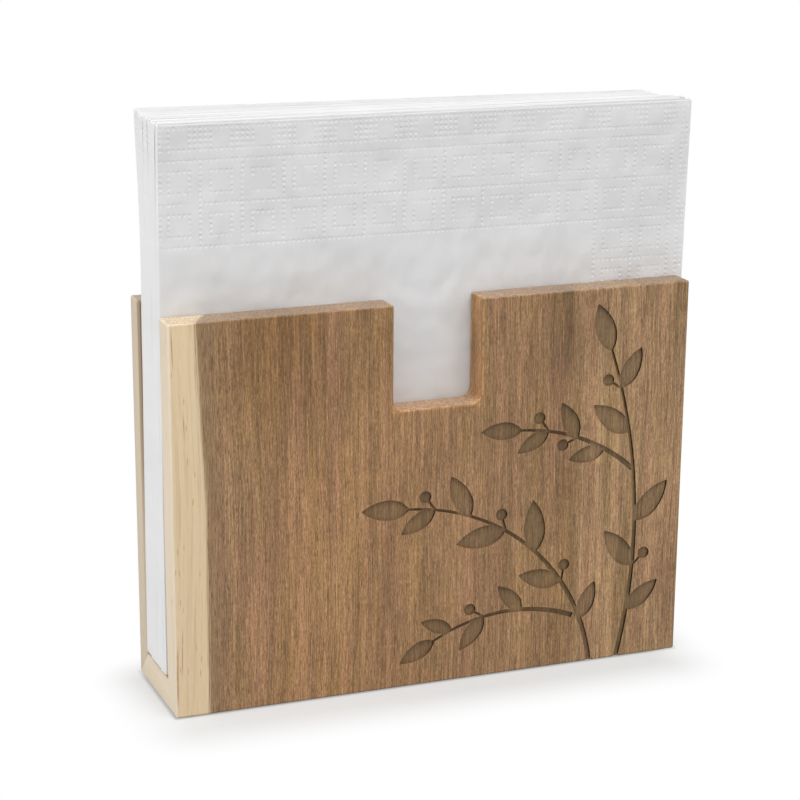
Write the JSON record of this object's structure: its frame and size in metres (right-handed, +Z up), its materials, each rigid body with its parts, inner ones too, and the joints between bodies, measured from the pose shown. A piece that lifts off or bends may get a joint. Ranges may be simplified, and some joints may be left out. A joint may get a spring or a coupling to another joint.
{
  "type": "napkin holder",
  "caption": "Upright U-shaped wooden napkin holder with a finger notch and carved sprigs on its front board, filled with quarter-folded paper napkins.",
  "frame": {"origin": "centre of the base's underside, midway between the holder's ends and between its front and rear faces", "axes": "+X along the slot to the right as seen from the front, -Y out of the carved front board, +Z up"},
  "size_m": [0.1681, 0.04, 0.1741],
  "materials": {
    "acacia": "satin",
    "tongue_wood": "matte",
    "napkin_tissue": "matte"
  },
  "bodies": {
    "holder": {"front_panel": "acacia", "rear_panel": "acacia", "base_board": "acacia", "front_mitre_tongue": "tongue_wood", "rear_mitre_tongue": "tongue_wood"},
    "front_napkin": {"napkin_01": "napkin_tissue"},
    "napkin_stack": {"napkin_02": "napkin_tissue", "napkin_03": "napkin_tissue", "napkin_04": "napkin_tissue", "napkin_05": "napkin_tissue", "napkin_06": "napkin_tissue", "napkin_07": "napkin_tissue", "napkin_08": "napkin_tissue", "napkin_09": "napkin_tissue", "napkin_10": "napkin_tissue", "napkin_11": "napkin_tissue", "napkin_12": "napkin_tissue"}
  },
  "joints": [
    {"name": "front_napkin_lift", "type": "slide", "parent": "holder", "child": "front_napkin", "axis": [0, 0, 1], "range_m": [0, 0.125]},
    {"name": "napkin_stack_lift", "type": "slide", "parent": "holder", "child": "napkin_stack", "axis": [0, 0, 1], "range_m": [0, 0.125]}
  ]
}
